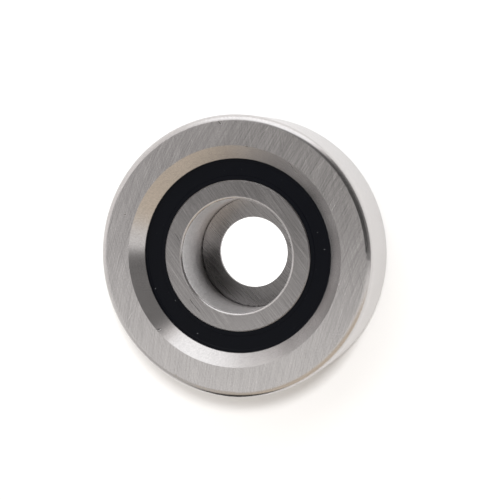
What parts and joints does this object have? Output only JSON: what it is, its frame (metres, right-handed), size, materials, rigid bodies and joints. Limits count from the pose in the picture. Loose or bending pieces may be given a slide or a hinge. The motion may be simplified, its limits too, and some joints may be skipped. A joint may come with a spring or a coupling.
{
  "type": "forklift mast roller",
  "caption": "Sealed ball-bearing guide roller: thick ground steel outer ring with a bevelled recess and rubber seals, turning on balls around a counterbored inner ring.",
  "frame": {"origin": "centre of the inner ring's rear face, on the roller's axis: the roller stands on that face", "axes": "+Z along the roller's axis, out of the pictured front face; the roller is turned all round, so +X only points at the first ball"},
  "size_m": [0.098, 0.098, 0.0288],
  "materials": {
    "ground_steel": "fine ground",
    "seal_rubber": "matte moulded",
    "cage_steel": "pressed sheet",
    "ball_steel": "polished",
    "rivet_steel": "cold headed"
  },
  "bodies": {
    "inner_ring_body": {"inner_ring": "ground_steel"},
    "outer_ring_body": {"outer_ring": "ground_steel", "front_seal": "seal_rubber", "rear_seal": "seal_rubber"},
    "cage_body": {"front_cage_half": "cage_steel", "rear_cage_half": "cage_steel", "cage_rivet_1": "rivet_steel", "cage_rivet_2": "rivet_steel", "cage_rivet_3": "rivet_steel", "cage_rivet_4": "rivet_steel", "cage_rivet_5": "rivet_steel", "cage_rivet_6": "rivet_steel", "cage_rivet_7": "rivet_steel", "cage_rivet_8": "rivet_steel", "cage_rivet_9": "rivet_steel"},
    "ball_1_body": {"ball_1": "ball_steel"},
    "ball_2_body": {"ball_2": "ball_steel"},
    "ball_3_body": {"ball_3": "ball_steel"},
    "ball_4_body": {"ball_4": "ball_steel"},
    "ball_5_body": {"ball_5": "ball_steel"},
    "ball_6_body": {"ball_6": "ball_steel"},
    "ball_7_body": {"ball_7": "ball_steel"},
    "ball_8_body": {"ball_8": "ball_steel"},
    "ball_9_body": {"ball_9": "ball_steel"}
  },
  "joints": [
    {"name": "roller_spin", "type": "hinge", "parent": "inner_ring_body", "child": "outer_ring_body", "pos_m": [0, 0, 0.01475], "axis": [0, 0, 1], "continuous": true},
    {"name": "cage_orbit", "type": "hinge", "parent": "inner_ring_body", "child": "cage_body", "pos_m": [0, 0, 0.01475], "axis": [0, 0, 1], "continuous": true},
    {"name": "ball_1_spin", "type": "hinge", "parent": "cage_body", "child": "ball_1_body", "pos_m": [0.03017, 0, 0.01475], "axis": [0, 0, 1], "continuous": true},
    {"name": "ball_2_spin", "type": "hinge", "parent": "cage_body", "child": "ball_2_body", "pos_m": [0.02311, 0.01939, 0.01475], "axis": [0, 0, 1], "continuous": true},
    {"name": "ball_3_spin", "type": "hinge", "parent": "cage_body", "child": "ball_3_body", "pos_m": [0.00524, 0.02971, 0.01475], "axis": [0, 0, 1], "continuous": true},
    {"name": "ball_4_spin", "type": "hinge", "parent": "cage_body", "child": "ball_4_body", "pos_m": [-0.01509, 0.02613, 0.01475], "axis": [0, 0, 1], "continuous": true},
    {"name": "ball_5_spin", "type": "hinge", "parent": "cage_body", "child": "ball_5_body", "pos_m": [-0.02835, 0.01032, 0.01475], "axis": [0, 0, 1], "continuous": true},
    {"name": "ball_6_spin", "type": "hinge", "parent": "cage_body", "child": "ball_6_body", "pos_m": [-0.02835, -0.01032, 0.01475], "axis": [0, 0, 1], "continuous": true},
    {"name": "ball_7_spin", "type": "hinge", "parent": "cage_body", "child": "ball_7_body", "pos_m": [-0.01509, -0.02613, 0.01475], "axis": [0, 0, 1], "continuous": true},
    {"name": "ball_8_spin", "type": "hinge", "parent": "cage_body", "child": "ball_8_body", "pos_m": [0.00524, -0.02971, 0.01475], "axis": [0, 0, 1], "continuous": true},
    {"name": "ball_9_spin", "type": "hinge", "parent": "cage_body", "child": "ball_9_body", "pos_m": [0.02311, -0.01939, 0.01475], "axis": [0, 0, 1], "continuous": true}
  ],
  "couplings": [
    {"joint": "cage_orbit", "follows": "roller_spin", "ratio": 0.59865},
    {"joint": "ball_1_spin", "follows": "roller_spin", "ratio": 2.4356},
    {"joint": "ball_2_spin", "follows": "roller_spin", "ratio": 2.4356},
    {"joint": "ball_3_spin", "follows": "roller_spin", "ratio": 2.4356},
    {"joint": "ball_4_spin", "follows": "roller_spin", "ratio": 2.4356},
    {"joint": "ball_5_spin", "follows": "roller_spin", "ratio": 2.4356},
    {"joint": "ball_6_spin", "follows": "roller_spin", "ratio": 2.4356},
    {"joint": "ball_7_spin", "follows": "roller_spin", "ratio": 2.4356},
    {"joint": "ball_8_spin", "follows": "roller_spin", "ratio": 2.4356},
    {"joint": "ball_9_spin", "follows": "roller_spin", "ratio": 2.4356}
  ]
}
